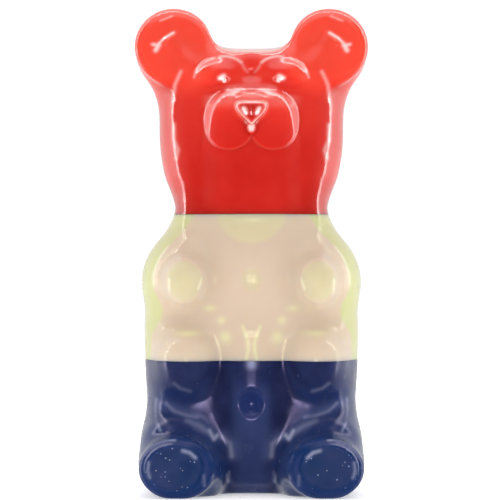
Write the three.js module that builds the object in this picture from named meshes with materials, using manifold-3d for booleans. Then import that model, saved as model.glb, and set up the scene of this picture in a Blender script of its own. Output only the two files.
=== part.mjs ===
// A giant moulded gummy bear, cast standing in three flavours of gel, one above the other.
// Millimetres, +Z up. The bear faces -Y, is symmetric about X = 0 and stands on Z = 0.
//
// The bear is one soft form: rounded bodies that flow into each other, as the cavity of its
// mould was modelled. Each body is a smooth distance function with its own sizes, and they are
// blended over a named width. The skin of that form is taken with marching cubes, eased onto
// the exact form, and cut level into the three poured layers.

import * as THREE from 'three';
import { MarchingCubes } from 'three/addons/objects/MarchingCubes.js';
import Module from 'manifold-3d';

const wasm = await Module();
wasm.setup();

// ---------------------------------------------------------------- driving dimensions

const BLUE_TOP = 62.9; // the blue layer was poured first, to this height
const YELLOW_TOP = 131.3; // then the yellow one, up to the neck
const HEIGHT = 229; // and the red one fills the head, up to the ears
const LAYER_GAP = 0.3; // clearance between two layers that lie on each other

// A body is where its centre lies and its three half-widths: across, front to back, upright.
const CHEST = { at: [0, 11, 92], half: [49.6, 38, 40] };
const BREAST = { at: [0, -3.5, 100], half: [27, 30, 29.5] };
const BELLY = { at: [0, 10, 45], half: [49.2, 39, 48] };
const TUMMY = { at: [0, -13, 42], half: [13.5, 22.5, 33] };
const SEAT = { at: [20, 12, 26.5], half: [27, 39.3, 31] };

const SKULL = { at: [0, 9, 180], half: [43.8, 36.5, 29.3] };
const JAW = { at: [0, 10.5, 158], half: [42.3, 36, 36] };
const NECK = { at: [0, 9.5, 128], half: [36.2, 28, 20] };
const EAR = { at: [36.9, 210.7], radius: 18.2, edge: 5, back: 18.5, soft: 14 };
const EAR_FACE = -9; // how far forward the ear's flat face lies at its middle
const EAR_LEAN = 0.376; // the face leans back by this much of its height
const EAR_ROOT = { from: [37.5, 8, 204.5], fromR: 14.3, to: [29, 8, 190], toR: 12.5 };
const FOREHEAD = { top: 206.4, half: 27, foot: 190, fillet: 12, bulge: 11, rounder: -1.5 };
const BROW_LEVEL = 186; // below it the forehead stands upright
const EYE_MOUND = { at: [13.8, -12.6, 194.6], half: [15, 14.8, 11] };
const FURROW = { from: [0, -32.6, 199.8], fromR: 8, to: [0, -32.8, 210.1], toR: 13 };

const MUZZLE = { at: [0, -13, 160], half: [26, 27.7, 42] };
const MUZZLE_LEAN = 0.25; // the muzzle's front falls back by this much of its height to the chin
const LEAN_FROM = 190;
const BEVEL = { flare: 0.3, slope: [0.839, -0.545], widest: 0.98 }; // the slope that runs round the muzzle's front
const JOWL = { at: [10.2, 172.6], radius: 11 };
const NOSE_BRIDGE = { at: [0, -33.6, 180.8], half: [9.4, 7, 7.6] };
const NOSE = { top: 183.2, side: 7.7, tip: 172, cheek: [0.707, -0.707], back: -32, edge: 1.4 };
const NOSE_LOBE = { at: [3.4, -34, 177.8], half: [11, 8.6, 11] };
const NOSE_DROP = { at: [0, -37.2, 171.4], half: [2.2, 2.2, 3] };

const ARM = { at: [32.4, -4, 100.6], half: [18.2, 28.5, 18.6] };
const PAW = { at: [31.2, -29, 100.2], half: [10, 14, 11.3] };

const THIGH = { at: [32.8, -4, 58], half: [15.4, 27, 23] };
const KNEE = { at: [30.4, -22.5, 63], half: [13, 18, 14] };
const HAUNCH = { at: [34.6, -7, 19], half: [17.9, 29, 21] };
const INSTEP = { at: [23.5, -15, 12.5], half: [13.2, 31.5, 16] };
const FOOT = { at: [34.2, -25.5, 13.6], half: [17.8, 25.5, 14.4], edge: 5 };
const SOLE_PAD = { at: [35.6, -50.1, 14.1], half: [13.3, 1.9, 11], edge: 1.4 };
const NAVEL = { at: [0, -37.6, 43.5], half: [5.8, 6, 5.8] };
const BASE = { below: 0.3, blend: 1.4 }; // the rounding down to the flat face it stands on

// How widely two bodies flow into each other, and how softly a cut's edge is rounded.
const BLEND = {
  torso: 12, breast: 9, seat: 8, tummy: 6, jaw: 6, neck: 4, brow: 6, crown: 7, earRoot: 5, eyes: 1.2,
  furrow: 1.5, bevel: 2.5, bridge: 1, noseCorner: 3, drop: 0.6, nose: 0.8, muzzle: 2.2, paw: 3.5,
  knee: 5, instep: 9, foot: 4, sole: 1.5, thigh: 6, head: 8, arm: 7, leg: 5, navel: 2.5,
};

// How square a body is in plan and on its flank: 2 is an ellipse.
const SQUARE = {
  chest: [2.6, 2.6], belly: [2.8, 3], tummy: [2.4, 2.4], skull: [2.2, 3], neck: [2.4, 4],
  muzzle: [2.2, 4], arm: [2.3, 2], thigh: [2.3, 2.2], haunch: [2.6, 2.4],
};

// The skin starts as even facets and is split wherever it curves away from them.
const FACET = 5.9;
const SAG = [0.36, 0.24, 0.17, 0.15]; // the most that an edge may stand off the form, in each round
const EASE_STEPS = 6;

// ---------------------------------------------------------------- distance functions

// Each gives about the distance from a point to a body, negative inside it. x is already |x|,
// so that one ear, paw or foot stands for the pair.

function ellipsoid(x, y, z, { at, half }) {
  const u = (x - at[0]) / half[0];
  const v = (y - at[1]) / half[1];
  const w = (z - at[2]) / half[2];
  const k0 = Math.hypot(u, v, w) + 1e-9;
  const k1 = Math.hypot(u / half[0], v / half[1], w / half[2]) + 1e-9;
  return (k0 * (k0 - 1)) / k1;
}

// A boxier ellipsoid: `plan` squares its level section and `flank` its upright one.
function barrel(x, y, z, { at, half }, [plan, flank]) {
  const u = Math.abs(x - at[0]) / half[0];
  const v = Math.abs(y - at[1]) / half[1];
  const w = Math.abs(z - at[2]) / half[2];
  const section = (u ** plan + v ** plan) ** (1 / plan);
  const reach = (section ** flank + w ** flank) ** (1 / flank);
  return (reach - 1) * Math.min(...half) * 0.95;
}

// A ball that grows as it is swept from one centre to the other.
function taperedRod(x, y, z, { from, fromR, to, toR }) {
  const d = [to[0] - from[0], to[1] - from[1], to[2] - from[2]];
  const p = [x - from[0], y - from[1], z - from[2]];
  const along = (p[0] * d[0] + p[1] * d[1] + p[2] * d[2]) / (d[0] ** 2 + d[1] ** 2 + d[2] ** 2);
  const t = THREE.MathUtils.clamp(along, 0, 1);
  return Math.hypot(p[0] - t * d[0], p[1] - t * d[1], p[2] - t * d[2]) - (fromR + t * (toR - fromR));
}

// Where a wall and an end face meet, rounded by `edge`.
function rounded(wall, face, edge) {
  const [w, f] = [wall + edge, face + edge];
  return Math.min(Math.max(w, f), 0) + Math.hypot(Math.max(w, 0), Math.max(f, 0)) - edge;
}

// An oval drum lying front to back.
function drum(x, y, z, { at, half, edge }) {
  const u = (x - at[0]) / half[0];
  const w = (z - at[2]) / half[2];
  const k0 = Math.hypot(u, w) + 1e-9;
  const k1 = Math.hypot(u / half[0], w / half[2]) + 1e-9;
  return rounded((k0 * (k0 - 1)) / k1, Math.abs(y - at[1]) - half[1], edge);
}

// Two bodies flow into each other over `width`; the second form cuts one out of the other.
function blend(a, b, width) {
  const h = Math.max(width - Math.abs(a - b), 0) / width;
  return Math.min(a, b) - (h * h * width) / 4;
}

function carve(a, b, width) {
  return -blend(-a, b, width);
}

// ---------------------------------------------------------------- the bear's bodies

function trunk(x, y, z) {
  let form = blend(barrel(x, y, z, CHEST, SQUARE.chest), barrel(x, y, z, BELLY, SQUARE.belly), BLEND.torso);
  form = blend(form, ellipsoid(x, y, z, BREAST), BLEND.breast);
  form = blend(form, ellipsoid(x, y, z, SEAT), BLEND.seat);
  return blend(form, barrel(x, y, z, TUMMY, SQUARE.tummy), BLEND.tummy);
}

// A rounded triangle with its tip down, and two soft lobes on its front.
function nose(x, y, z) {
  const cheek = x * NOSE.cheek[0] + (z - NOSE.tip) * NOSE.cheek[1];
  const wall = carve(carve(z - NOSE.top, NOSE.side - x, BLEND.noseCorner), -cheek, BLEND.noseCorner);
  const face = Math.max(ellipsoid(x, y, z, NOSE_LOBE), y - NOSE.back);
  return blend(rounded(wall, face, NOSE.edge), ellipsoid(x, y, z, NOSE_DROP), BLEND.drop);
}

function muzzle(x, y, z) {
  const lean = y - MUZZLE_LEAN * Math.max(LEAN_FROM - z, 0);
  let form = barrel(x, lean, z, MUZZLE, SQUARE.muzzle);
  const up = z - JOWL.at[1];
  const ring = Math.hypot(Math.max(x - JOWL.at[0], 0), Math.max(up, 0)) - JOWL.radius;
  const around = ring - BEVEL.flare * Math.max(-up, 0);
  const [plan] = SQUARE.muzzle;
  const across = Math.min(x / MUZZLE.half[0], BEVEL.widest);
  const front = MUZZLE.at[1] - MUZZLE.half[1] * (1 - across ** plan) ** (1 / plan);
  form = carve(form, -(around * BEVEL.slope[0] + (lean - front) * BEVEL.slope[1]), BLEND.bevel);
  form = blend(form, ellipsoid(x, y, z, NOSE_BRIDGE), BLEND.bridge);
  return blend(form, nose(x, y, z), BLEND.nose);
}

// The ears and the forehead between them: one slab with a rounded edge. Its face leans back, and
// it swells forward between the ears.
function crown(x, y, z) {
  const rim = Math.hypot(x - EAR.at[0], z - EAR.at[1]) - EAR.radius;
  const above = carve(z - FOREHEAD.top, FOREHEAD.half - x, BLEND.brow);
  const forehead = carve(above, z - FOREHEAD.foot, BLEND.brow);
  const middle = 1 - THREE.MathUtils.smoothstep(x, 0, EAR.at[0]);
  const lean = y - EAR_LEAN * (Math.max(z, BROW_LEVEL) - EAR.at[1]);
  const face = EAR_FACE - FOREHEAD.bulge * middle - lean;
  const edge = EAR.edge + FOREHEAD.rounder * middle;
  let form = rounded(blend(rim, forehead, FOREHEAD.fillet), face, edge);
  form = carve(form, EAR.back - y, EAR.soft);
  return blend(form, taperedRod(x, y, z, EAR_ROOT), BLEND.earRoot);
}

function head(x, y, z) {
  let form = blend(barrel(x, y, z, SKULL, SQUARE.skull), ellipsoid(x, y, z, JAW), BLEND.jaw);
  form = blend(form, barrel(x, y, z, NECK, SQUARE.neck), BLEND.neck);
  form = blend(form, crown(x, y, z), BLEND.crown);
  form = blend(form, ellipsoid(x, y, z, EYE_MOUND), BLEND.eyes);
  form = carve(form, taperedRod(x, y, z, FURROW), BLEND.furrow);
  return blend(form, muzzle(x, y, z), BLEND.muzzle);
}

function arm(x, y, z) {
  return blend(barrel(x, y, z, ARM, SQUARE.arm), ellipsoid(x, y, z, PAW), BLEND.paw);
}

function leg(x, y, z) {
  const thigh = blend(ellipsoid(x, y, z, KNEE), barrel(x, y, z, THIGH, SQUARE.thigh), BLEND.knee);
  let foot = blend(barrel(x, y, z, HAUNCH, SQUARE.haunch), ellipsoid(x, y, z, INSTEP), BLEND.instep);
  foot = blend(foot, drum(x, y, z, FOOT), BLEND.foot);
  foot = blend(foot, drum(x, y, z, SOLE_PAD), BLEND.sole);
  return blend(thigh, foot, BLEND.thigh);
}

function bear(xSigned, y, z) {
  const x = Math.abs(xSigned);
  let form = blend(trunk(x, y, z), head(x, y, z), BLEND.head);
  form = blend(form, arm(x, y, z), BLEND.arm);
  form = blend(form, leg(x, y, z), BLEND.leg);
  form = carve(form, ellipsoid(x, y, z, NAVEL), BLEND.navel);
  return carve(form, z + BASE.below, BASE.blend);
}

// ---------------------------------------------------------------- the skin

// The marching cubes' triangles, with the vertices of neighbouring triangles made one.
function polygonise() {
  const size = 2 * Math.ceil((HEIGHT / 2 + 12) / FACET) + 2;
  const place = (n, axis) => (n - size / 2) * FACET + (axis === 2 ? HEIGHT / 2 : 0);
  const skin = new MarchingCubes(size, new THREE.MeshBasicMaterial(), false, false, 20000);
  skin.isolation = 0;
  for (let k = 0; k < size; k++) {
    for (let j = 0; j < size; j++) {
      for (let i = 0; i < size; i++) skin.setCell(i, j, k, -bear(place(i, 0), place(j, 1), place(k, 2)));
    }
  }
  skin.update();

  // A vertex lies on one grid edge: two of its coordinates are whole numbers of cells.
  const points = [];
  const index = [];
  const seen = new Map();
  for (let v = 0; v < skin.count; v++) {
    const cell = [0, 1, 2].map((a) => (skin.positionArray[3 * v + a] + 1) * skin.halfsize);
    const off = cell.map((c) => Math.abs(c - Math.round(c)));
    const along = off.indexOf(Math.max(...off));
    const key = `${cell.map((c, a) => (a === along ? Math.floor(c) : Math.round(c)))} ${along}`;
    if (!seen.has(key)) {
      seen.set(key, points.length);
      points.push(new THREE.Vector3(...cell.map(place)));
    }
    index.push(seen.get(key));
  }
  return { points, index };
}

// The direction out of the form at a point goes into `out`; the height above the form comes back.
function slope(p, out) {
  const e = 0.02;
  const height = bear(p.x, p.y, p.z);
  out.set(bear(p.x + e, p.y, p.z), bear(p.x, p.y + e, p.z), bear(p.x, p.y, p.z + e));
  out.subScalar(height).divideScalar(e);
  return height;
}

function settle(p, out, steps) {
  for (let step = 0; step < steps; step++) {
    const height = slope(p, out);
    p.addScaledVector(out, -height / Math.max(out.lengthSq(), 0.2));
  }
}

// Spreads the vertices evenly along the skin and lays each one on the exact form.
function ease({ points, index }) {
  const near = points.map(() => new Set());
  for (let t = 0; t < index.length; t += 3) {
    for (let c = 0; c < 3; c++) near[index[t + c]].add(index[t + ((c + 1) % 3)]);
  }
  const out = new THREE.Vector3();
  points.forEach((p) => settle(p, out, 3));
  for (let step = 0; step < EASE_STEPS; step++) {
    const moved = points.map((p, i) => {
      const mean = new THREE.Vector3();
      near[i].forEach((j) => mean.add(points[j]));
      mean.divideScalar(near[i].size).sub(p);
      slope(p, out);
      out.normalize();
      return mean.addScaledVector(out, -mean.dot(out)).multiplyScalar(0.5).add(p);
    });
    moved.forEach((p, i) => {
      settle(p, out, step < EASE_STEPS - 1 ? 1 : 4);
      points[i].copy(p);
    });
  }
}

// Halves each edge whose middle stands off the form by more than `sag`, and splits its triangles.
function refine({ points, index }, sag) {
  const halves = new Map();
  const key = (a, b) => (a < b ? a * 1e6 + b : b * 1e6 + a);
  for (let t = 0; t < index.length; t += 3) {
    for (let c = 0; c < 3; c++) {
      const [a, b] = [index[t + c], index[t + ((c + 1) % 3)]];
      if (a > b) continue;
      const middle = points[a].clone().add(points[b]).multiplyScalar(0.5);
      if (Math.abs(bear(middle.x, middle.y, middle.z)) < sag) continue;
      halves.set(key(a, b), points.length);
      points.push(middle);
    }
  }
  const split = [];
  for (let t = 0; t < index.length; t += 3) {
    const corner = index.slice(t, t + 3);
    const half = corner.map((a, c) => halves.get(key(a, corner[(c + 1) % 3])));
    const cuts = half.filter((h) => h !== undefined).length;
    // Turned so that its first edge is halved and, of three, the last one is the whole one.
    let turn = 0;
    if (cuts === 1) turn = half.findIndex((h) => h !== undefined);
    if (cuts === 2) turn = (half.indexOf(undefined) + 1) % 3;
    const [a, b, c] = [0, 1, 2].map((k) => corner[(k + turn) % 3]);
    const [ab, bc, ca] = [0, 1, 2].map((k) => half[(k + turn) % 3]);
    if (cuts === 0) split.push(a, b, c);
    if (cuts === 1) split.push(a, ab, c, ab, b, c);
    if (cuts === 2) split.push(ab, b, bc, a, ab, bc, a, bc, c);
    if (cuts === 3) split.push(a, ab, ca, ab, b, bc, ca, bc, c, ab, bc, ca);
  }
  index.length = 0;
  split.forEach((v) => index.push(v));
}

// ---------------------------------------------------------------- solids

function toSolid(points, index) {
  const vertProperties = new Float32Array(points.flatMap((p) => [p.x, p.y, p.z]));
  return new wasm.Manifold(new wasm.Mesh({ numProp: 3, vertProperties, triVerts: new Uint32Array(index) }));
}

function boxSolid(low, high) {
  const box = new THREE.BoxGeometry(140, 140, high - low).translate(0, 0, (low + high) / 2);
  const corners = [];
  const seen = new Map();
  const position = box.getAttribute('position');
  const index = Array.from(box.index.array, (v) => {
    const p = new THREE.Vector3().fromBufferAttribute(position, v);
    const key = p.toArray().join();
    if (!seen.has(key)) {
      seen.set(key, corners.length);
      corners.push(p);
    }
    return seen.get(key);
  });
  return toSolid(corners, index);
}

function toGeometry(solid) {
  const mesh = solid.getMesh();
  const geometry = new THREE.BufferGeometry();
  geometry.setAttribute('position', new THREE.BufferAttribute(new Float32Array(mesh.vertProperties), 3));
  geometry.setIndex(new THREE.BufferAttribute(new Uint32Array(mesh.triVerts), 1));
  geometry.computeVertexNormals();
  return geometry;
}

// ---------------------------------------------------------------- the three poured layers

const GELS = {
  blue_gel_base: { color: '#26356c', low: 0, high: BLUE_TOP - LAYER_GAP / 2 },
  yellow_gel_body: { color: '#e2cfae', low: BLUE_TOP + LAYER_GAP / 2, high: YELLOW_TOP - LAYER_GAP / 2 },
  red_gel_head: { color: '#e5352d', low: YELLOW_TOP + LAYER_GAP / 2, high: HEIGHT + 20 },
};

function gummyBear() {
  const skin = polygonise();
  ease(skin);
  for (const sag of SAG) {
    refine(skin, sag);
    ease(skin);
  }
  const whole = toSolid(skin.points, skin.index);
  const group = new THREE.Group();
  for (const [name, gel] of Object.entries(GELS)) {
    const layer = whole.intersect(boxSolid(gel.low, gel.high));
    const material = new THREE.MeshStandardMaterial({ color: gel.color, roughness: 0.12, metalness: 0 });
    const mesh = new THREE.Mesh(toGeometry(layer), material);
    mesh.name = name;
    group.add(mesh);
  }
  return group;
}

export default gummyBear();
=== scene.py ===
# %% [markdown]
# # A giant gummy bear in three gels
# A gummy bear of this size is cast standing in a two-part mould: blue gel first, then yellow,
# then red, each poured when the one below has set. Its form is one soft shape of rounded bodies
# that flow into each other. This lesson builds that form from named sizes, cuts it level into
# the three poured layers, and gives each gel a material and a soft studio to stand in.

# %% Load the frame
import math

import bmesh
import bpy
import numpy as np
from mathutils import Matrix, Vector


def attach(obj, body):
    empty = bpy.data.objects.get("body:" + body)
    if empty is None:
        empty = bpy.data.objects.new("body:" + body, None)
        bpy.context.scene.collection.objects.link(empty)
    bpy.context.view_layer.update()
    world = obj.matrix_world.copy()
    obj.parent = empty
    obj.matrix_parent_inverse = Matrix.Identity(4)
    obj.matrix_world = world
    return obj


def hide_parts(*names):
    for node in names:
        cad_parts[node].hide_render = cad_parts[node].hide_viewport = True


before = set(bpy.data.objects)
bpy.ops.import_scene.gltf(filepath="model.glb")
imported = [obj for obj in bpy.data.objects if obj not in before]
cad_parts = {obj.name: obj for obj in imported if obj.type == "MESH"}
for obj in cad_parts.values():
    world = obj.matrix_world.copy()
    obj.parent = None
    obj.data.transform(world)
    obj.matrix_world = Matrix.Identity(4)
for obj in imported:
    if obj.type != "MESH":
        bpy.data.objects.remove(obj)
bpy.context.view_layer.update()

# %% [markdown]
# ## The sizes of the bear
# Everything is in millimetres, with the bear facing -Y and standing on Z = 0. A body is where
# its centre lies and its three half-widths: across, front to back and upright. `plan` and
# `flank` say how square it is, seen from above and from the side, where 2 is an ellipse. Only
# the bodies of one side are named, because the other side is their mirror image.

# %% Sizes
MM = 0.001
BLUE_TOP = 62.9  # the level that the blue gel was poured to
YELLOW_TOP = 131.3  # and the yellow gel

CHEST = dict(at=(0, 11, 92), half=(49.6, 38, 40), plan=2.6, flank=2.6)
BREAST = dict(at=(0, -3.5, 100), half=(27, 30, 29.5))
BELLY = dict(at=(0, 10, 45), half=(49.2, 39, 48), plan=2.8, flank=3)
TUMMY = dict(at=(0, -13, 42), half=(13.5, 22.5, 33), plan=2.4, flank=2.4)
SEAT = dict(at=(20, 12, 26.5), half=(27, 39.3, 31))

SKULL = dict(at=(0, 9, 180), half=(43.8, 36.5, 29.3), plan=2.2, flank=3)
JAW = dict(at=(0, 10.5, 158), half=(42.3, 36, 36))
NECK = dict(at=(0, 9.5, 128), half=(36.2, 28, 20), plan=2.4, flank=4)
EAR = dict(at=(36.9, 210.7), radius=18.2, edge=5, back=18.5, soft=14)
EAR_FACE = -9  # how far forward the ear's flat face lies at its middle
EAR_LEAN = 0.376  # the face leans back by this much of its height
EAR_ROOT = dict(start=(37.5, 8, 204.5), start_r=14.3, end=(29, 8, 190), end_r=12.5)
EAR_LIP = dict(at=(40.9, 213.8), way=(0.66, 0.75), height=2.4, width=2.6, length=5, tail=14)
FOREHEAD = dict(top=206.4, half=27, foot=190, fillet=12, bulge=11, rounder=-1.5)
BROW_LEVEL = 186  # below it the forehead stands upright
EYE_MOUND = dict(at=(13.8, -12.6, 194.6), half=(15, 14.8, 11))
FURROW = dict(start=(0, -32.6, 199.8), start_r=8, end=(0, -32.8, 210.1), end_r=13)

MUZZLE = dict(at=(0, -13, 160), half=(26, 27.7, 42), plan=2.2, flank=4)
MUZZLE_LEAN = 0.25  # the muzzle's front falls back by this much of its height towards the chin
LEAN_FROM = 190
BEVEL = dict(flare=0.3, slope=(0.839, -0.545), widest=0.98)  # the slope round the muzzle's front
JOWL = dict(at=(10.2, 172.6), radius=11, step=1.4, edge=(-0.2, 0.9), fade=(169, 175))
NOSE_BRIDGE = dict(at=(0, -33.6, 180.8), half=(9.4, 7, 7.6))
NOSE = dict(top=183.2, side=7.7, tip=172, cheek=(0.707, -0.707), back=-32, edge=1.4)
NOSE_LOBE = dict(at=(3.4, -34, 177.8), half=(11, 8.6, 11))
NOSE_DROP = dict(at=(0, -37.2, 171.4), half=(2.2, 2.2, 3))

ARM = dict(at=(32.4, -4, 100.6), half=(18.2, 28.5, 18.6), plan=2.3, flank=2)
PAW = dict(at=(31.2, -29, 100.2), half=(10, 14, 11.3))

THIGH = dict(at=(32.8, -4, 58), half=(15.4, 27, 23), plan=2.3, flank=2.2)
KNEE = dict(at=(30.4, -22.5, 63), half=(13, 18, 14))
HAUNCH = dict(at=(34.6, -7, 19), half=(17.9, 29, 21), plan=2.6, flank=2.4)
INSTEP = dict(at=(23.5, -15, 12.5), half=(13.2, 31.5, 16))
FOOT = dict(at=(34.2, -25.5, 13.6), half=(17.8, 25.5, 14.4), edge=5)
SOLE_PAD = dict(at=(35.6, -50.1, 14.1), half=(13.3, 1.9, 11), edge=1.4)
NAVEL = dict(at=(0, -37.6, 43.5), half=(5.8, 6, 5.8))
BASE = dict(below=0.3, blend=1.4)  # the rounding down to the flat face it stands on

# How widely two bodies flow into each other, and how softly a cut's edge is rounded.
BLEND = dict(
    torso=12, breast=9, seat=8, tummy=6, jaw=6, neck=4, brow=6, crown=7, ear_root=5, eyes=1.2,
    furrow=1.5, bevel=2.5, bridge=1, nose_corner=3, drop=0.6, nose=0.8, muzzle=2.2, paw=3.5,
    knee=5, instep=9, foot=4, sole=1.5, thigh=6, head=8, arm=7, leg=5, navel=2.5)

# %% [markdown]
# ## Bodies as distance functions
# A modeller of sweets works in clay, where one ball is pressed into the next and the seam is
# smoothed with a thumb. Distance functions do the same in numbers: each gives the distance from
# a point to a body, and `blend` joins two of them with a fillet of a named width. Meshes that
# are joined by a Boolean would leave hard creases, which a gel poured in a mould never has.

# %% Distance functions
TINY = 1e-9  # keeps a division from failing at a body's very centre
SHY = 0.95  # a barrel's distance is an estimate, kept a little short


def ellipsoid(x, y, z, at, half):
    u, v, w = (x - at[0]) / half[0], (y - at[1]) / half[1], (z - at[2]) / half[2]
    near = np.sqrt(u * u + v * v + w * w) + TINY
    slope = np.sqrt((u / half[0]) ** 2 + (v / half[1]) ** 2 + (w / half[2]) ** 2) + TINY
    return near * (near - 1) / slope


def barrel(x, y, z, at, half, plan, flank):
    """A boxier ellipsoid: `plan` squares its level section and `flank` its upright one."""
    u, v, w = np.abs(x - at[0]) / half[0], np.abs(y - at[1]) / half[1], np.abs(z - at[2]) / half[2]
    section = (u**plan + v**plan) ** (1 / plan)
    return ((section**flank + w**flank) ** (1 / flank) - 1) * min(half) * SHY


def tapered_rod(x, y, z, start, start_r, end, end_r):
    """A ball that grows as it is swept from one centre to the other."""
    d = np.subtract(end, start)
    p = (x - start[0], y - start[1], z - start[2])
    t = np.clip((p[0] * d[0] + p[1] * d[1] + p[2] * d[2]) / (d @ d), 0, 1)
    gap = np.sqrt((p[0] - t * d[0]) ** 2 + (p[1] - t * d[1]) ** 2 + (p[2] - t * d[2]) ** 2)
    return gap - (start_r + t * (end_r - start_r))


def rounded(wall, face, edge):
    """Where a wall and an end face meet, rounded by `edge`."""
    wall, face = wall + edge, face + edge
    within = np.minimum(np.maximum(wall, face), 0)
    beyond = np.hypot(np.maximum(wall, 0), np.maximum(face, 0))
    return within + beyond - edge


def drum(x, y, z, at, half, edge):
    """An oval drum lying front to back."""
    u, w = (x - at[0]) / half[0], (z - at[2]) / half[2]
    near = np.hypot(u, w) + TINY
    wall = near * (near - 1) / (np.hypot(u / half[0], w / half[2]) + TINY)
    return rounded(wall, np.abs(y - at[1]) - half[1], edge)


def blend(a, b, width):
    """Joins two bodies, which flow into each other over `width`."""
    h = np.maximum(width - np.abs(a - b), 0) / width
    return np.minimum(a, b) - h * h * width / 4


def carve(a, b, width):
    """Cuts b out of a, with the cut's edge rounded over `width`."""
    return -blend(-a, b, width)


def ramp(value, low, high):
    """Rises smoothly from 0 at `low` to 1 at `high`."""
    t = np.clip((value - low) / (high - low), 0, 1)
    return t * t * (3 - 2 * t)


# %% Trunk, arms and legs
def trunk(x, y, z):
    form = blend(barrel(x, y, z, **CHEST), barrel(x, y, z, **BELLY), BLEND["torso"])
    form = blend(form, ellipsoid(x, y, z, **BREAST), BLEND["breast"])
    form = blend(form, ellipsoid(x, y, z, **SEAT), BLEND["seat"])
    return blend(form, barrel(x, y, z, **TUMMY), BLEND["tummy"])


def arm(x, y, z):
    return blend(barrel(x, y, z, **ARM), ellipsoid(x, y, z, **PAW), BLEND["paw"])


def leg(x, y, z):
    thigh = blend(ellipsoid(x, y, z, **KNEE), barrel(x, y, z, **THIGH), BLEND["knee"])
    foot = blend(barrel(x, y, z, **HAUNCH), ellipsoid(x, y, z, **INSTEP), BLEND["instep"])
    foot = blend(foot, drum(x, y, z, **FOOT), BLEND["foot"])
    foot = blend(foot, drum(x, y, z, **SOLE_PAD), BLEND["sole"])
    return blend(thigh, foot, BLEND["thigh"])


# %% Muzzle and nose
def nose_wall(x, z):
    """A triangle with its tip down, seen from the front."""
    cheek = x * NOSE["cheek"][0] + (z - NOSE["tip"]) * NOSE["cheek"][1]
    top = carve(z - NOSE["top"], NOSE["side"] - x, BLEND["nose_corner"])
    return carve(top, -cheek, BLEND["nose_corner"])


def nose(x, y, z):
    """The triangle's front swells in two soft lobes, and a drop hangs under its tip."""
    face = np.maximum(ellipsoid(x, y, z, **NOSE_LOBE), y - NOSE["back"])
    pad = rounded(nose_wall(x, z), face, NOSE["edge"])
    return blend(pad, ellipsoid(x, y, z, **NOSE_DROP), BLEND["drop"])


def muzzle(x, y, z):
    """Two jowls with a sloping rim. The chin below them lies a step behind."""
    right, up = x - JOWL["at"][0], z - JOWL["at"][1]
    outside = ramp(np.hypot(right, up) - JOWL["radius"], *JOWL["edge"])
    step = JOWL["step"] * (1 - ramp(z, *JOWL["fade"])) * outside
    lean = y - MUZZLE_LEAN * np.maximum(LEAN_FROM - z, 0) - step
    form = barrel(x, lean, z, **MUZZLE)

    around = np.hypot(np.maximum(right, 0), np.maximum(up, 0)) - JOWL["radius"]
    around = around - BEVEL["flare"] * np.maximum(-up, 0)
    (_, middle, _), (half_x, half_y, _), plan = MUZZLE["at"], MUZZLE["half"], MUZZLE["plan"]
    front = middle - half_y * (1 - np.minimum(x / half_x, BEVEL["widest"]) ** plan) ** (1 / plan)
    slope = around * BEVEL["slope"][0] + (lean - front) * BEVEL["slope"][1]
    form = carve(form, -slope, BLEND["bevel"])
    form = blend(form, ellipsoid(x, y, z, **NOSE_BRIDGE), BLEND["bridge"])
    return blend(form, nose(x, y, z), BLEND["nose"])


# %% Ears and head
def ear_lip(x, z):
    """How far the ear's face swells forward at the low lip on it, which drops off outwards."""
    (at_x, at_z), (way_x, way_z) = EAR_LIP["at"], EAR_LIP["way"]
    across = (x - at_x) * way_x + (z - at_z) * way_z
    along = (z - at_z) * way_x - (x - at_x) * way_z
    tail = np.exp(np.minimum(across, 0) / EAR_LIP["tail"])
    fall = np.clip(0.5 - across / EAR_LIP["width"], 0, 1) * tail
    return EAR_LIP["height"] * fall * np.exp(-((along / EAR_LIP["length"]) ** 2))


def crown(x, y, z):
    """The ears and the forehead between them: one slab with a rounded edge, whose face leans back
    and swells forward between the ears. The ears' backs are round."""
    rim = np.hypot(x - EAR["at"][0], z - EAR["at"][1]) - EAR["radius"]
    above = carve(z - FOREHEAD["top"], FOREHEAD["half"] - x, BLEND["brow"])
    forehead = carve(above, z - FOREHEAD["foot"], BLEND["brow"])
    middle = 1 - ramp(x, 0, EAR["at"][0])
    lean = y - EAR_LEAN * (np.maximum(z, BROW_LEVEL) - EAR["at"][1])
    face = EAR_FACE - FOREHEAD["bulge"] * middle - ear_lip(x, z) - lean
    edge = EAR["edge"] + FOREHEAD["rounder"] * middle
    form = rounded(blend(rim, forehead, FOREHEAD["fillet"]), face, edge)
    form = carve(form, EAR["back"] - y, EAR["soft"])
    return blend(form, tapered_rod(x, y, z, **EAR_ROOT), BLEND["ear_root"])


def head(x, y, z):
    form = blend(barrel(x, y, z, **SKULL), ellipsoid(x, y, z, **JAW), BLEND["jaw"])
    form = blend(form, barrel(x, y, z, **NECK), BLEND["neck"])
    form = blend(form, crown(x, y, z), BLEND["crown"])
    form = blend(form, ellipsoid(x, y, z, **EYE_MOUND), BLEND["eyes"])
    form = carve(form, tapered_rod(x, y, z, **FURROW), BLEND["furrow"])
    return blend(form, muzzle(x, y, z), BLEND["muzzle"])


# %% The bear as one form
def bear(x, y, z):
    x = np.abs(x)
    form = blend(trunk(x, y, z), head(x, y, z), BLEND["head"])
    form = blend(form, arm(x, y, z), BLEND["arm"])
    form = blend(form, leg(x, y, z), BLEND["leg"])
    form = carve(form, ellipsoid(x, y, z, **NAVEL), BLEND["navel"])
    return carve(form, z + BASE["below"], BASE["blend"])


print("from a point 300 mm up to the form", round(float(bear(0.0, 0.0, 300.0)), 1), "mm")

# %% [markdown]
# ## A fine skin over the form
# A surface net puts one vertex in each small cell of a grid that the surface passes through and
# joins the vertices of neighbouring cells with a square. It gives even squares, which bend light
# more smoothly than the thin triangles of marching cubes. Every vertex is then moved onto the
# exact form and eased along it, so a highlight runs over the gel without a ripple.

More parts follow.
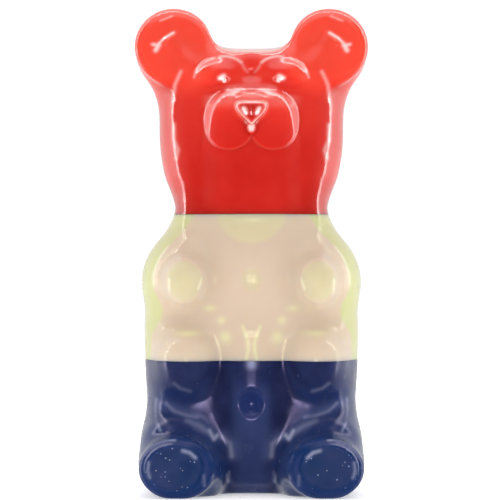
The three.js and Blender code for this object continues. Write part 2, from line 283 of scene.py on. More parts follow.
# %% Slopes of the form
FEEL = 0.02  # mm between the points that a slope is felt at
WEAKEST = 0.2  # a weaker slope counts as this, so that a step onto the form stays short


def slope_of(p):
    """The form's height at each point, and the direction in which it rises."""
    x, y, z = p.T
    height = bear(x, y, z)
    rise = np.stack([bear(x + FEEL, y, z), bear(x, y + FEEL, z), bear(x, y, z + FEEL)], 1)
    return height, (rise - height[:, None]) / FEEL


def outward(p):
    _, rise = slope_of(p)
    return rise / np.linalg.norm(rise, axis=1)[:, None]


def settle(p, steps):
    """Moves each point down or up its slope onto the form."""
    for _ in range(steps):
        height, rise = slope_of(p)
        p = p - rise * (height / np.maximum((rise**2).sum(1), WEAKEST))[:, None]
    return p


# %% The surface net
CELL = 0.8  # mm
REACH = 57  # the grid runs this far to the sides, the front and the back
GRID_FOOT, GRID_TOP = -2, 233
GRID_LIFT = 0.3  # so that no level of the grid lies on the flat underside


def grid_of_heights():
    """Heights on a grid that is symmetric about X = 0: one half is worked out and mirrored."""
    x = np.arange(0.5, REACH / CELL) * CELL
    y = np.arange(-REACH, REACH, CELL)
    z = np.arange(GRID_FOOT, GRID_TOP, CELL) + GRID_LIFT
    half = bear(x[:, None, None], y[None, :, None], z[None, None, :])
    return np.concatenate([half[::-1], half]), np.array([-x[-1], y[0], z[0]])


def crossed_cells(values, low):
    """The cells that the surface passes through, and a vertex amid its crossings in each."""
    inside = values < 0
    corner = np.array([(i, j, k) for i in (0, 1) for j in (0, 1) for k in (0, 1)])
    span = np.array(values.shape) - 1
    count = np.zeros(span, np.int8)
    for i, j, k in corner:
        count += inside[i : i + span[0], j : j + span[1], k : k + span[2]]
    cells = np.argwhere((count > 0) & (count < len(corner)))
    at = cells[:, None, :] + corner[None]
    held = values[at[..., 0], at[..., 1], at[..., 2]]
    total, hits = np.zeros((len(cells), 3)), np.zeros(len(cells))
    for a in range(len(corner)):
        for b in range(a + 1, len(corner)):
            if np.abs(corner[a] - corner[b]).sum() != 1:
                continue
            cross = (held[:, a] < 0) != (held[:, b] < 0)
            t = np.where(cross, held[:, a] / np.where(cross, held[:, a] - held[:, b], 1), 0)
            total += cross[:, None] * (corner[a] + t[:, None] * (corner[b] - corner[a]))
            hits += cross
    return cells, low + CELL * (cells + total / hits[:, None])


def surface_net(values, low):
    """A square round each grid edge that the surface crosses, facing outwards."""
    cells, points = crossed_cells(values, low)
    number = np.full(np.array(values.shape) - 1, -1)
    number[tuple(cells.T)] = np.arange(len(cells))
    inside = values < 0
    squares = []
    for axis in range(3):
        a, b = np.moveaxis(inside, axis, 0)[:-1], np.moveaxis(inside, axis, 0)[1:]
        edges = np.argwhere(a != b)
        leaves = a[tuple(edges.T)]
        u, v = [other for other in range(3) if other != axis]
        edges = np.insert(edges[:, 1:], axis, edges[:, 0], axis=1)
        ring = []
        for du, dv in ((-1, -1), (0, -1), (0, 0), (-1, 0)):
            cell = edges.copy()
            cell[:, u] += du
            cell[:, v] += dv
            ring.append(number[tuple(cell.T)])
        ring = np.stack(ring, 1)
        flip = leaves if axis == 1 else ~leaves
        ring[flip] = ring[flip][:, ::-1]
        squares.append(ring)
    return points, np.concatenate(squares)


# %% Build the skin
EASING = 0.5  # of the way to its neighbours' middle, in each round


def ease(points, squares, rounds):
    """Moves each vertex towards the middle of its neighbours, but only along the skin."""
    a, b = squares.ravel(), np.roll(squares, -1, axis=1).ravel()
    for _ in range(rounds):
        total, near = np.zeros_like(points), np.zeros(len(points))
        for one, other in ((a, b), (b, a)):
            for c in range(3):
                total[:, c] += np.bincount(one, points[other, c], len(points))
            near += np.bincount(one, minlength=len(points))
        way = total / near[:, None] - points
        out = outward(points)
        points = settle(points + EASING * (way - out * (way * out).sum(1)[:, None]), steps=1)
    return settle(points, steps=3)


points, squares = surface_net(*grid_of_heights())
points = ease(settle(points, steps=2), squares, rounds=4)
print("skin", len(points), "vertices", len(squares), "squares, off the form by",
      round(float(np.abs(slope_of(points)[0]).max()), 5), "mm")

# %% [markdown]
# ## Painted light and shade: where the gel is thin, creased or pale
# Gel doesn't look one colour: light passes through it, so an ear is brighter than the thick of
# the head, and a crease is darker than the bulge beside it. A real volume would show that by
# itself, but it renders slowly and most viewers of a model can't show it. Here each vertex keeps
# a few shares from 0 to 1, measured on the form, and the gel's material paints light and shade
# into its colours by them: light where the gel is thin, shade in creases, and pale reflections
# of the studio on flanks, brows, muzzle, paws and belly. Places are given as the front shows
# them: across from the middle, and up.

# %% Helpers for shares
def fade(value, low, high):
    return 1 - ramp(value, low, high)


def bell(distance, width):
    return np.exp(-((distance / width) ** 2))


def oval(x, z, at, half):
    """How far out from an oval's middle each point lies: 1 is on its edge."""
    return np.hypot((x - at[0]) / half[0], (z - at[1]) / half[1])


def way_off(x, z, path):
    """How far each point lies from a bent line."""
    nearest = np.full(x.shape, np.inf)
    for (x0, z0), (x1, z1) in zip(path, path[1:]):
        dx, dz = x1 - x0, z1 - z0
        t = np.clip(((x - x0) * dx + (z - z0) * dz) / (dx * dx + dz * dz), 0, 1)
        nearest = np.minimum(nearest, np.hypot(x - x0 - t * dx, z - z0 - t * dz))
    return nearest


# %% Shares of the whole bear
# From each point of the skin, steps are taken straight in and straight out. In thick gel a step
# of 8 mm leads 8 mm deep, but where the far side or a neighbour is near it gains less.
STEPS_IN = (8, 14, 22)
STEPS_OUT = (2, 4, 7)
GAIN = (0.35, 0.95)  # of a step: what counts as fully thin or fully creased, and as neither
LOOKS_ASIDE = (0.55, 0.95)


def form_shares(p, out):
    depth = sum(-bear(*(p - out * step).T) / step for step in STEPS_IN) / len(STEPS_IN)
    open_air = sum(bear(*(p + out * step).T) / step for step in STEPS_OUT) / len(STEPS_OUT)
    return {
        # painted light: brighter where the gel is thin and light shines through
        "thin": fade(depth, *GAIN),
        # painted shade: darker in creases, where little open air lies outside
        "crease_shade": fade(open_air, *GAIN),
        # painted reflection: the flanks paler, where the white wall shows on the gloss
        "side": ramp(np.abs(out[:, 0]), *LOOKS_ASIDE),
    }


# %% Shares of the red head
HEAD_FOOT_SHADE = (150, 195)  # painted shade: the head is darker towards its foot
EAR_GLOW = (0, 9)  # mm outside an ear, where its brightness ends
NOSE_FRONT = (35, 37)  # mm forward, where the nose stands out from the muzzle
NOSE_SHADE_INSET = (-1.6, -0.6)  # painted shade: the nose's front darker from this far inside its outline, in mm
# Painted reflection of the room: a pale band over the muzzle.
SHELF_REFLECTION = dict(side=(22, 26), foot=(179, 184), top=(188, 189.5), droop=0.1, front=(22, 26))
# Painted highlight: a pale line along the front of the forehead's top.
CREST_HIGHLIGHT = dict(up=(0.75, 0.95), foot=(203, 206), side=(14, 24), back=(-14, -4))


def head_shares(x, y, z, out):
    """Painted light and shade: a reflection over the muzzle, a highlight along the forehead's top,
    brighter ears, a darker foot of the head and a darker nose.
    """
    shelf_reflection = fade(x, *SHELF_REFLECTION["side"]) * ramp(z, *SHELF_REFLECTION["foot"])
    shelf_reflection = shelf_reflection * fade(z + SHELF_REFLECTION["droop"] * x, *SHELF_REFLECTION["top"]) * ramp(-y, *SHELF_REFLECTION["front"])
    crest_highlight = ramp(out[:, 2], *CREST_HIGHLIGHT["up"]) * ramp(z, *CREST_HIGHLIGHT["foot"])
    crest_highlight = crest_highlight * fade(x, *CREST_HIGHLIGHT["side"]) * fade(y, *CREST_HIGHLIGHT["back"])
    return {
        # painted light: the ears brighter, as light shines through their thin gel
        "ear": fade(np.hypot(x - EAR["at"][0], z - EAR["at"][1]) - EAR["radius"], *EAR_GLOW),
        # painted shade: darker towards the foot of the head
        "low": fade(z, *HEAD_FOOT_SHADE),
        # painted shade: the nose's flat front darker
        "nose_shade": fade(nose_wall(x, z), *NOSE_SHADE_INSET) * ramp(-y, *NOSE_FRONT),
        "shelf_reflection": shelf_reflection,
        "crest_highlight": crest_highlight,
    }


# %% Shares of the yellow body
# A painted reflection of the white wall: the pale rim on the body's flanks. How wide it is at each
# height, how soft its edge is, and how it weakens towards the back.
RIM_REFLECTION = dict(
    height=(63, 75, 82, 88, 95, 103, 115, 122, 131), width=(3.2, 4, 8.5, 9, 6.2, 6, 7, 8.5, 10),
    edge=(-0.7, 0.7), behind=(-10, 30), loss=0.6)
# Painted highlight: a thin pale line along the rim's inner edge, on the arms.
EDGE_HIGHLIGHT = dict(width=0.6, foot=(95, 100), top=(114, 119))

# Pools of light between the arms and the knees: across, up, and their half-widths.
POOLS = [(19.4, 87.4, 2.6, 1.4), (14.1, 81.7, 2, 1.8), (12, 73.8, 2.8, 3), (29.8, 75.7, 5.5, 1.4)]
# A painted highlight too: a thin pale line down the middle of the belly, counted with the pools.
STRAND = dict(path=[(4, 79), (1.6, 72), (1.4, 68), (2.6, 63)], width=0.8)

# Painted reflection of the front lamps: a pale oval on each paw's flat face.
PAW_REFLECTION = dict(at=(31.1, 100.2), half=(8.2, 9.2))
PAW_EDGE, PAW_FRONT = (0.9, 1.05), (34, 38)
# Painted reflection of the front lamps: a pale spot in the middle of the front, between the arms.
CHEST_REFLECTION = dict(at=(0, 100.6), half=(4.9, 5.4))
CHEST_EDGE = (0.8, 1.1)
# Painted reflection of the light above: a pale U under the chin, where the body turns upwards.
BIB_REFLECTION = dict(at=(0, 132), half=(17, 15))
BIB_EDGE = (0.85, 1.05)


def pools(x, z):
    light = sum(np.exp(-(((x - px) / rx) ** 2) - ((z - pz) / rz) ** 2) for px, pz, rx, rz in POOLS)
    return light + bell(way_off(x, z, STRAND["path"]), STRAND["width"])


def half_width(x, z):
    """How far the skin reaches sideways at the height of each point."""
    row = np.clip(np.round(z / CELL).astype(int), 0, None)
    widest = np.zeros(row.max() + 1)
    np.maximum.at(widest, row, x)
    return widest[row]


def body_shares(x, y, z):
    front = y < 0
    inside = half_width(x, z) - x - np.interp(z, RIM_REFLECTION["height"], RIM_REFLECTION["width"])
    # painted highlight along the rim's inner edge
    edge_highlight = bell(inside, EDGE_HIGHLIGHT["width"]) * ramp(z, *EDGE_HIGHLIGHT["foot"])
    return {
        # painted reflection: a pale rim on the flanks
        "rim": fade(inside, *RIM_REFLECTION["edge"]) * (1 - RIM_REFLECTION["loss"] * ramp(y, *RIM_REFLECTION["behind"])),
        "edge_highlight": edge_highlight * fade(z, *EDGE_HIGHLIGHT["top"]) * front,
        "pools": np.minimum(pools(x, z), 1) * front,
        # painted reflection on each paw's flat face
        "paw": fade(oval(x, z, **PAW_REFLECTION), *PAW_EDGE) * ramp(-y, *PAW_FRONT),
        # painted reflection: a pale spot in the middle of the front
        "chest_reflection": fade(oval(x, z, **CHEST_REFLECTION), *CHEST_EDGE) * front,
        # painted reflection: a pale U under the chin
        "bib_reflection": fade(oval(x, z, **BIB_REFLECTION), *BIB_EDGE) * front,
    }


# %% Shares of the blue base
# A painted reflection of the light above, where the top of each sitting leg meets the belly.
LEDGE_REFLECTION = dict(
    path=[(42, 43), (28, 37.5), (22.6, 33.8), (16.6, 28.3), (12.5, 28), (8.4, 24), (7.8, 19)], width=3)
LEG = dict(near=(0.5, 4), top=(44, 56))
COLUMN_REFLECTION = dict(width=8.5, squareness=6, top=(46, 58))  # a painted reflection down the middle of the belly
# Painted shade: darker in the navel, out to these mm from its middle.
NAVEL_SHADE = (4.8, 6)
SPARKLE = dict(width=2.2, foot=(57.5, 61.5))  # a painted highlight at the top of the belly
SOLE = dict(at=(36, 14), half=(13.5, 11.5))
SOLE_EDGE, SOLE_FRONT = (0.75, 1.1), (44, 48)
FLAT_SOLE = dict(facing=(0.9, 0.98), front=(46, 50))


def base_shares(x, y, z, out):
    front = y < 0
    column_reflection = np.exp(-((x / COLUMN_REFLECTION["width"]) ** COLUMN_REFLECTION["squareness"])) * fade(z, *COLUMN_REFLECTION["top"])
    return {
        "flat_sole": ramp(-out[:, 1], *FLAT_SOLE["facing"]) * ramp(-y, *FLAT_SOLE["front"]),
        "sparkle": bell(x, SPARKLE["width"]) * ramp(z, *SPARKLE["foot"]) * front,
        "leg": fade(leg(x, y, z), *LEG["near"]) * fade(z, *LEG["top"]),
        # painted reflection down the middle of the belly
        "column_reflection": column_reflection * front,
        # painted shade in the navel
        "navel": fade(np.hypot(x, z - NAVEL["at"][2]), *NAVEL_SHADE) * front,
        # painted reflection of the light above, along the top of each leg
        "ledge_reflection": bell(way_off(x, z, LEDGE_REFLECTION["path"]), LEDGE_REFLECTION["width"]) * front,
        "sole": fade(oval(x, z, **SOLE), *SOLE_EDGE) * ramp(-y, *SOLE_FRONT),
    }


# %% [markdown]
# ## Thin lights
# The small edges of the mould gather light into thin pale lines on ears, brows, nose, cheeks,
# paws, legs and feet. Reflections that thin need sharper edges than this soft form has, so they
# are painted as one more share, `gleam`: fixed painted highlights in the gel's colour, only on
# faces that look forward. The price is that they don't move with the viewer, as a reflection would.

# %% Gleams
# Each is a bent line, how wide it is and how strong.
GLEAMS = {
    "ear": [
        ([(36.9, 216.9), (41.1, 214.3), (44.6, 210.6)], 0.6, 0.9),
        ([(43.6, 211.2), (45, 208.6)], 1.1, 0.9),
        ([(46.4, 211.4), (43.4, 210.8)], 0.8, 0.8),
        ([(43, 222.8), (37.4, 225.1)], 0.5, 0.4)],
    "mound over the eye": [
        ([(26.8, 195.3), (26, 198), (23.7, 201), (20.8, 203), (17.9, 204.2)], 0.6, 0.45),
        ([(14.7, 205.1), (11.5, 205.2), (9.1, 204.6), (6.6, 203.5), (4.6, 202)], 0.6, 0.6),
        ([(4.6, 202), (3.4, 199.4), (1.8, 197.6)], 0.6, 0.25),
        ([(14.8, 194.6), (13, 195.6)], 1.0, 0.9)],
    "nose": [
        ([(3.7, 179.9), (2.6, 177.8)], 0.9, 0.95),
        ([(2.2, 174.3), (0, 172)], 0.8, 0.9)],
    "side of the head": [
        ([(33.1, 198.2), (35.9, 192), (36.9, 185)], 0.9, 0.4),
        ([(36.4, 173.3), (36.4, 166.2), (34.5, 161.5), (35.4, 157.8)], 1, 0.4)],
    "paw": [
        ([(38.2, 100.7), (38.2, 94.2)], 0.6, 0.6),
        ([(22.8, 101.6), (24.6, 96.5)], 0.6, 0.6)],
    "leg": [
        ([(44.8, 45), (45.3, 40), (44.8, 35), (42.3, 30.5)], 0.7, 0.4),
        ([(36, 52.6), (33, 50.2), (28.4, 48.8)], 0.9, 0.16),
        ([(40, 43), (36, 39.4), (30, 37.4), (25, 36.6)], 0.8, 0.22),
        ([(30, 35), (24.6, 33), (19, 29)], 1.2, 0.22),
        ([(19.6, 30.5), (17.4, 26.6), (15.8, 28.4)], 0.9, 0.6),
        ([(13.6, 27.4), (9.8, 24.4), (9.2, 18.5)], 1.1, 0.3),
        ([(12.2, 9.6), (11.4, 6.6)], 0.9, 0.9),
        ([(17.2, 5.2), (15, 5.6)], 0.8, 0.7)],
    "foot": [
        ([(50.1, 20.9), (46.7, 25.1), (43.3, 26.9), (38.4, 27.6), (35.2, 27.1)], 0.6, 0.4),
        ([(47.2, 16.8), (47.7, 13.1), (46.7, 9.9)], 0.7, 0.4),
        ([(31.5, 22.3), (28.3, 21.4), (25.7, 19.1)], 0.8, 0.5),
        ([(21.9, 10.8), (21.6, 6.2)], 0.7, 0.2)],
}
NOSE_RING_HIGHLIGHT = dict(inset=0.2, width=0.5, strength=0.7)  # a painted highlight that runs round the nose's outline
DROP_LIGHT = dict(half=(1.6, 2.2), edge=(0.7, 1.1), strength=0.9)
LOOKS_FORWARD = (0.3, 0.55)


def gleam_share(x, y, z, out):
    lines = [line for part in GLEAMS.values() for line in part]
    lit = np.max([strength * bell(way_off(x, z, path), width) for path, width, strength in lines], axis=0)
    on_nose = ramp(-y, *NOSE_FRONT)
    edge = bell(nose_wall(x, z) + NOSE_RING_HIGHLIGHT["inset"], NOSE_RING_HIGHLIGHT["width"]) * on_nose
    middle = (0, NOSE_DROP["at"][2])
    drop = fade(oval(x, z, middle, DROP_LIGHT["half"]), *DROP_LIGHT["edge"]) * on_nose
    lit = np.maximum(lit, np.maximum(NOSE_RING_HIGHLIGHT["strength"] * edge, DROP_LIGHT["strength"] * drop))
    return {"gleam": lit * ramp(-out[:, 1], *LOOKS_FORWARD)}


# %% Measure the shares
def shares(p):
    x, y, z, out = np.abs(p[:, 0]), p[:, 1], p[:, 2], outward(p)
    return {
        **form_shares(p, out), **head_shares(x, y, z, out), **body_shares(x, y, z),
        **base_shares(x, y, z, out), **gleam_share(x, y, z, out),
    }


share = shares(points)
for name, value in share.items():
    print(name, "mean", round(float(value.mean()), 3), "most", round(float(value.max()), 3))

# %% [markdown]
# ## Three poured layers
# Each gel is one solid with a level top and bottom, where it met the gel below. The skin is cut
# at the two pouring levels and each cut is closed with a flat face, so every layer is a closed
# body that could be cast by itself. The rim of a cut stays sharp: the gels touch there and
# nothing rounds it.

# %% Cut the layers
LAYERS = {
    "blue_gel_base": (None, BLUE_TOP),
    "yellow_gel_body": (BLUE_TOP, YELLOW_TOP),
    "red_gel_head": (YELLOW_TOP, None),
}
SLIVER = 0.2 * CELL  # a vertex this close to a cut is moved onto it, so that no sliver is left
FLAT_BELOW = 0.12  # mm; lower than this the underside lies flat on the table
CUT_TOLERANCE = 1e-7  # metres

for level in (BLUE_TOP, YELLOW_TOP):
    points[np.abs(points[:, 2] - level) < SLIVER, 2] = level
points[:, 2] = np.where(points[:, 2] < FLAT_BELOW, 0, points[:, 2])


def skin_mesh(name):
    mesh = bpy.data.meshes.new(name)
    mesh.vertices.add(len(points))
    mesh.vertices.foreach_set("co", (points * MM).ravel())
    mesh.loops.add(squares.size)
    mesh.loops.foreach_set("vertex_index", squares.ravel())
    mesh.polygons.add(len(squares))
    mesh.polygons.foreach_set("loop_start", np.arange(len(squares)) * 4)
    mesh.update(calc_edges=True)
    for key, value in share.items():
        mesh.attributes.new(key, "FLOAT", "POINT").data.foreach_set("value", value)
    return mesh


def close_cut(form, level, keep_above):
    """Cuts level and closes the hole; the cut face stays flat, with a sharp rim."""
    everything = form.verts[:] + form.edges[:] + form.faces[:]
    cut = bmesh.ops.bisect_plane(
        form, geom=everything, dist=CUT_TOLERANCE, plane_co=(0, 0, level * MM), plane_no=(0, 0, 1),
        clear_inner=keep_above, clear_outer=not keep_above)["geom_cut"]
    rim = [e for e in cut if isinstance(e, bmesh.types.BMEdge) and e.is_boundary]
    caps = bmesh.ops.triangle_fill(form, use_beauty=True, edges=rim)["geom"]
    faces = [f for f in caps if isinstance(f, bmesh.types.BMFace)]
    for face in faces:
        face.smooth = False
        if (face.normal.z > 0) == keep_above:
            face.normal_flip()
    for edge in rim:
        edge.smooth = False
    return len(faces)


def layer_piece(name, low, high):
    mesh = skin_mesh(name)
    form = bmesh.new()
    form.from_mesh(mesh)
    for face in form.faces:
        face.smooth = True
    caps = 0
    if high is not None:
        caps += close_cut(form, high, keep_above=False)
    if low is not None:
        caps += close_cut(form, low, keep_above=True)
    leaks = sum(not e.is_manifold for e in form.edges)
    litres = form.calc_volume(signed=True) * 1000
    form.to_mesh(mesh)
    form.free()
    piece = bpy.data.objects.new(name + "_gel_skin", mesh)
    bpy.context.scene.collection.objects.link(piece)
    print(f"{name}: {len(mesh.polygons)} faces, {caps} in its cuts, {leaks} leaks, {litres:.3f} litres")
    return piece


pieces = {name: layer_piece(name, *levels) for name, levels in LAYERS.items()}

# %% [markdown]
# ## Colours and nodes
# Colours are picked as sRGB hex, as a screen shows them, and turned linear once. One helper adds
# a node with its settings and what feeds it, so a material reads as a short list of what it is
# made of.

# %% Helpers for materials
def linear(hex_colour):
    parts = [int(hex_colour[i : i + 2], 16) / 255 for i in (1, 3, 5)]
    return tuple(c / 12.92 if c <= 0.04045 else ((c + 0.055) / 1.055) ** 2.4 for c in parts) + (1.0,)


def add(tree, kind, feeds=None, **settings):
    """Adds a node. `feeds` gives its sockets, by name or number, what comes from another node or a
    value; `settings` name its own options, or its sockets."""
    node = tree.nodes.new(kind)
    for key, value in settings.items():
        if hasattr(node, key):
            setattr(node, key, value)
        else:
            node.inputs[key.replace("_", " ")].default_value = value
    for key, source in (feeds or {}).items():
        if isinstance(source, bpy.types.NodeSocket):
            tree.links.new(source, node.inputs[key])
        else:
            node.inputs[key].default_value = source
    return node


print("sRGB #808080 is", round(linear("#808080")[0], 4), "linear")

# %% [markdown]
# ## Gelatine gel
# Set gelatine is clear but full of colour: light goes in, scatters for a centimetre or so and
# comes out tinted, and the skin is as glossy as a wet stone. A Principled shader with deep
# subsurface light gives the inner glow for the price of a solid surface. Its colour is mixed by
# the shares measured above, which paint light and shade into it: a bright colour where the gel
# is thin, a deep one in creases, and pale painted reflections and highlights.
# Real pours carry faint clouds and a few fine bubbles, and the mould leaves soft ripples of a
# few millimetres that bend the reflections.

# %% Colours inside the gel
CLOUD_SIZE = 18 * MM  # faint milky places in a pour
BUBBLES_APART = 2.6 * MM  # each about half a millimetre across
BUBBLE = "#b4c0dc"  # a bubble just under the skin sends back the light of the room
COLOUR_A, COLOUR_B, MIXED = 6, 7, 2  # a Mix node's sockets for two colours, and what comes out


def mix_by(tree, share_name, strength, base, over):
    """Mixes the colour `over` into `base` where the vertex share of that name is high."""
    held = add(tree, "ShaderNodeAttribute", attribute_name=share_name)
    amount = add(tree, "ShaderNodeMath", {0: held.outputs["Fac"], 1: strength}, operation="MULTIPLY")
    mixed = add(tree, "ShaderNodeMix", {0: amount.outputs[0], COLOUR_A: base, COLOUR_B: linear(over)},
                data_type="RGBA")
    return mixed.outputs[MIXED]


def clouded(tree, place, base, cloud, cloudiness):
    clouds = add(tree, "ShaderNodeTexNoise", {"Vector": place}, Scale=1 / CLOUD_SIZE, Detail=3.0,
                 Roughness=0.55)
    amount = add(tree, "ShaderNodeMapRange", {"Value": clouds.outputs["Fac"]}, From_Min=0.35,
                 From_Max=0.75, To_Max=cloudiness)
    mixed = add(tree, "ShaderNodeMix", {0: amount.outputs[0], COLOUR_A: base, COLOUR_B: linear(cloud)},
                data_type="RGBA")
    return mixed.outputs[MIXED]


def bubbly(tree, place, base, strength):
    """Fine air bubbles, caught behind the flat of the soles."""
    cells = add(tree, "ShaderNodeTexVoronoi", {"Vector": place}, Scale=1 / BUBBLES_APART, Randomness=1.0)
    dots = add(tree, "ShaderNodeMapRange", {"Value": cells.outputs["Distance"]}, From_Min=0.07,
               From_Max=0.14, To_Min=strength, To_Max=0.0)
    held = add(tree, "ShaderNodeAttribute", attribute_name="sole")
    seen = add(tree, "ShaderNodeMath", {0: dots.outputs[0], 1: held.outputs["Fac"]}, operation="MULTIPLY")
    mixed = add(tree, "ShaderNodeMix", {0: seen.outputs[0], COLOUR_A: base, COLOUR_B: linear(BUBBLE)},
                data_type="RGBA")
    return mixed.outputs[MIXED]


# %% The gel's skin
GEL_IOR = 1.42  # sugary gelatine bends light more than water, at 1.33
RIPPLE_SIZE, RIPPLE_HEIGHT = 9 * MM, 0.4 * MM  # left by the mould
SMEAR_SIZE = 5 * MM  # patches of thinner and thicker glazing oil
SMEARED = (0.7, 1.4)  # the roughness varies between these shares of its own value
DULL_SOLE = 0.35  # a flat sole has stood on the table, so it is this much rougher


def roughness_of(tree, place, roughness):
    smears = add(tree, "ShaderNodeTexNoise", {"Vector": place}, Scale=1 / SMEAR_SIZE, Detail=2.0)
    gloss = add(tree, "ShaderNodeMapRange", {"Value": smears.outputs["Fac"]}, From_Min=0.3,
                From_Max=0.7, To_Min=roughness * SMEARED[0], To_Max=roughness * SMEARED[1])
    dull = add(tree, "ShaderNodeAttribute", attribute_name="flat_sole")
    duller = add(tree, "ShaderNodeMath", {0: dull.outputs["Fac"], 1: DULL_SOLE, 2: gloss.outputs[0]},
                 operation="MULTIPLY_ADD")
    return duller.outputs[0]


def gel(name, deep, tints, cloud, scatter_mm, tint, roughness, shine=0.5, cloudiness=0.22, bubbles=0.0):
    material = bpy.data.materials.new(name)
    material.use_nodes = True
    tree = material.node_tree
    tree.nodes.clear()
    place = add(tree, "ShaderNodeTexCoord").outputs["Object"]

    colour = linear(deep)
    for share_name, strength, over in tints:
        colour = mix_by(tree, share_name, strength, colour, over)
    colour = clouded(tree, place, colour, cloud, cloudiness)
    if bubbles:
        colour = bubbly(tree, place, colour, bubbles)

    ripples = add(tree, "ShaderNodeTexNoise", {"Vector": place}, Scale=1 / RIPPLE_SIZE, Detail=1.5)
    bump = add(tree, "ShaderNodeBump", {"Height": ripples.outputs["Fac"]}, Strength=0.5,
               Distance=RIPPLE_HEIGHT)
    lit = add(tree, "ShaderNodeAttribute", attribute_name="gleam")
    glow = add(tree, "ShaderNodeMath", {0: 1.0, 1: lit.outputs["Fac"]}, operation="SUBTRACT")

    # A gleam has no inner glow: scattered light would blur so thin a line.
    skin = add(
        tree, "ShaderNodeBsdfPrincipled",
        {"Base Color": colour, "Roughness": roughness_of(tree, place, roughness),
         "Normal": bump.outputs[0], "Subsurface Weight": glow.outputs[0]},
        Subsurface_Scale=1.0, Subsurface_Radius=[r * MM for r in scatter_mm],
        IOR=GEL_IOR, Specular_Tint=linear(tint), Specular_IOR_Level=shine)
    add(tree, "ShaderNodeOutputMaterial", {"Surface": skin.outputs[0]})
    return material


# %% Three flavours
# A tint is the share that it goes by, how strong it is there, and its colour.
GELS = {
    "red_gel_head": dict(
        name="cherry_gelatine_gel", deep="#e2332a", cloud="#f04a3c", scatter_mm=(9, 3, 2.4),
        tint="#ffffff", roughness=0.09,
        # Painted light and shade: bright ears and thin gel, pale reflections, dark foot, creases and nose
        tints=[("thin", 0.7, "#ff5844"), ("ear", 1.0, "#ff5442"), ("low", 0.8, "#c4221c"),
               ("side", 0.5, "#f07068"), ("crease_shade", 0.7, "#b8140f"), ("shelf_reflection", 0.75, "#f07c74"),
               ("crest_highlight", 0.9, "#f4c4bc"), ("nose_shade", 0.85, "#b81c16"), ("gleam", 1.0, "#ffeae6")]),
    "yellow_gel_body": dict(
        name="pineapple_gelatine_gel", deep="#dec9b6", cloud="#dcd0b4", scatter_mm=(7, 6, 4),
        tint="#f6f6c8", roughness=0.1, shine=0.12,
        # Painted light and shade: pale reflections and highlights on rim, paws and front, creases darker
        tints=[("rim", 0.8, "#d0d896"), ("edge_highlight", 0.8, "#f4f4d8"), ("pools", 0.8, "#ece8bc"),
               ("thin", 0.15, "#dcdcb0"), ("paw", 0.6, "#d2cea4"), ("chest_reflection", 0.4, "#d2d0a0"),
               ("bib_reflection", 0.7, "#e2daae"), ("crease_shade", 0.1, "#dcc09c"), ("gleam", 1.0, "#f8f6dc")]),
    "blue_gel_base": dict(
        name="blue_raspberry_gelatine_gel", deep="#22274c", cloud="#454d7a",
        scatter_mm=(1, 1.8, 3.5), tint="#d0c2f6", roughness=0.2, shine=0.3, cloudiness=0.4,
        bubbles=0.9,
        # Painted: reflections down the belly and on the legs, highlights, shade in creases and navel
        tints=[("leg", 0.6, "#0e3a70"), ("thin", 0.3, "#2a4a86"), ("column_reflection", 0.75, "#485a8a"),
               ("crease_shade", 0.6, "#1a1c4a"), ("ledge_reflection", 0.35, "#6c76a4"), ("navel", 0.8, "#1c2f6a"),
               ("sole", 0.9, "#042e5c"), ("sparkle", 0.8, "#b4b8d8"), ("gleam", 1.0, "#c4c8e0")]),
}
for node, piece in pieces.items():
    piece.data.materials.clear()
    piece.data.materials.append(gel(**GELS[node]))
    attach(piece, "root")
    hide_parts(node)
    print(node, "is", piece.data.materials[0].name)

# %% [markdown]
# ## The studio
# Sweets are shot on a lit white table before an overexposed white wall. The wall wraps round the
# sides of the glossy gel as a pale band, the dark room in front leaves the middle deep in
# colour, and two soft lamps in front, one above the other, put the points of light on nose and
# brows. The world gives the wall and the room. It isn't sampled as a lamp, so a reflected ray
# sees the studio and a scattered one sees even light.

# %% The table
FLOOR = 2.5  # metres from its middle to each edge
floor_mesh = bpy.data.meshes.new("light_table")
floor_mesh.from_pydata(
    [(-FLOOR, -FLOOR, 0), (FLOOR, -FLOOR, 0), (FLOOR, FLOOR, 0), (-FLOOR, FLOOR, 0)], [], [(0, 1, 2, 3)])
floor = bpy.data.objects.new("light_table", floor_mesh)
bpy.context.scene.collection.objects.link(floor)
acrylic = bpy.data.materials.new("opal_acrylic")
acrylic.use_nodes = True
sheet = acrylic.node_tree.nodes["Principled BSDF"]
sheet.inputs["Base Color"].default_value = linear("#f4f4f4")
sheet.inputs["Roughness"].default_value = 0.7
sheet.inputs["Emission Color"].default_value = (1, 1, 1, 1)
sheet.inputs["Emission Strength"].default_value = 0.45
floor_mesh.materials.append(acrylic)
floor.visible_glossy = False
print("table", 2 * FLOOR, "m wide")

# %% The room that the gel reflects
# How bright the room is, from straight behind the camera, 0, to straight behind the bear, 1.
ROOM = [(0.0, 0.03), (0.59, 0.06), (0.615, 0.2), (0.625, 14.0), (0.65, 12.0), (0.675, 3.0),
        (0.78, 1.6), (1.0, 0.8)]
CEILING = 2.2
DARK_TABLE = 0.12  # of the room's light, looking down
BACKDROP = 1.05  # a little over white

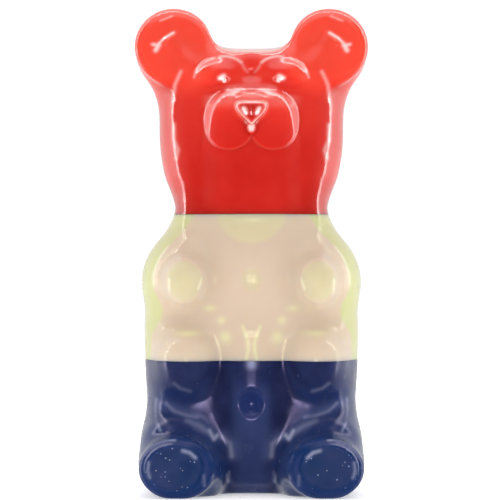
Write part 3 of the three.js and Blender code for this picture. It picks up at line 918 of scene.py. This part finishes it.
world = bpy.data.worlds.new("white_studio")
bpy.context.scene.world = world
world.use_nodes = True
world.cycles.sampling_method = "NONE"
tree = world.node_tree
tree.nodes.clear()
way = add(tree, "ShaderNodeTexCoord").outputs["Generated"]
parts = add(tree, "ShaderNodeSeparateXYZ", {0: way}).outputs
back = add(tree, "ShaderNodeMapRange", {"Value": parts["Y"]}, From_Min=-1.0, From_Max=1.0)
wall = add(tree, "ShaderNodeValToRGB", {0: back.outputs[0]})
while len(wall.color_ramp.elements) < len(ROOM):
    wall.color_ramp.elements.new(0.5)
for element, (position, light) in zip(wall.color_ramp.elements, ROOM):
    element.position = position
    element.color = (light, light, light, 1)
ceiling = add(tree, "ShaderNodeMapRange", {"Value": parts["Z"]}, From_Min=0.8, From_Max=0.97,
              To_Max=CEILING, interpolation_type="SMOOTHSTEP")
table = add(tree, "ShaderNodeMapRange", {"Value": parts["Z"]}, From_Min=-0.6, From_Max=-0.15,
            To_Min=DARK_TABLE)
lower = add(tree, "ShaderNodeMix", {0: 1.0, COLOUR_A: wall.outputs[0], COLOUR_B: table.outputs[0]},
            data_type="RGBA", blend_type="MULTIPLY")
studio = add(tree, "ShaderNodeMix", {0: 1.0, COLOUR_A: lower.outputs[MIXED], COLOUR_B: ceiling.outputs[0]},
             data_type="RGBA", blend_type="LIGHTEN")
print("room in", len(ROOM), "steps of light")

# %% The light that the gel scatters, and the backdrop
sky = add(tree, "ShaderNodeMapRange", {"Value": parts["Z"]}, From_Min=-0.8, From_Max=0.9,
          To_Min=0.62, To_Max=1.05)
rays = add(tree, "ShaderNodeLightPath").outputs
seen = add(tree, "ShaderNodeMix", {0: rays["Is Glossy Ray"], COLOUR_A: sky.outputs[0],
                                   COLOUR_B: studio.outputs[MIXED]}, data_type="RGBA")
white = add(tree, "ShaderNodeMix", {0: rays["Is Camera Ray"], COLOUR_A: seen.outputs[MIXED],
                                    COLOUR_B: (BACKDROP, BACKDROP, BACKDROP, 1)},
            data_type="RGBA")
shine = add(tree, "ShaderNodeBackground", {"Color": white.outputs[MIXED]})
add(tree, "ShaderNodeOutputWorld", {"Surface": shine.outputs[0]})
print("world", world.name)


# %% Lamps in front
def softbox(name, at, size, radiance, aim):
    """A lamp that shows only as a reflection: the even light of the room does the rest."""
    data = bpy.data.lights.new(name, "AREA")
    data.shape, data.size, data.size_y = "RECTANGLE", *size
    data.energy = radiance * math.pi * size[0] * size[1]
    lit = bpy.data.objects.new(name, data)
    bpy.context.scene.collection.objects.link(lit)
    lit.location = at
    lit.rotation_euler = (lit.location - Vector(aim)).to_track_quat("Z", "Y").to_euler()
    lit.visible_camera = lit.visible_diffuse = False
    print(name, round(data.energy, 2), "W")
    return lit


HEAD = (0, 0, 0.17)
softbox("front_box", (0, -1.5, 0.20), (0.5, 0.34), 24, HEAD)
softbox("front_box_top", (0, -1.45, 0.63), (0.6, 0.2), 7, HEAD)

# %% [markdown]
# ## The camera
# The bear is seen straight from the front at half its height, from far enough away that its
# feet don't loom: a long lens at 1.7 m.

# %% Camera
PICTURE = 0.2368  # metres that the square picture spans at the bear
DISTANCE = 1.7
ASIDE, LEVEL = -0.00066, 0.1145  # metres from the bear's middle and over the table
SENSOR = 36  # mm
camera_data = bpy.data.cameras.new("camera")
camera_data.sensor_width = SENSOR
camera_data.lens = SENSOR * DISTANCE / PICTURE
camera = bpy.data.objects.new("camera", camera_data)
bpy.context.scene.collection.objects.link(camera)
camera.location = (ASIDE, -DISTANCE, LEVEL)
camera.rotation_euler = (math.radians(90), 0, 0)
bpy.context.scene.camera = camera
bpy.context.scene.view_settings.view_transform = "Standard"
print("lens", round(camera_data.lens, 1), "mm")
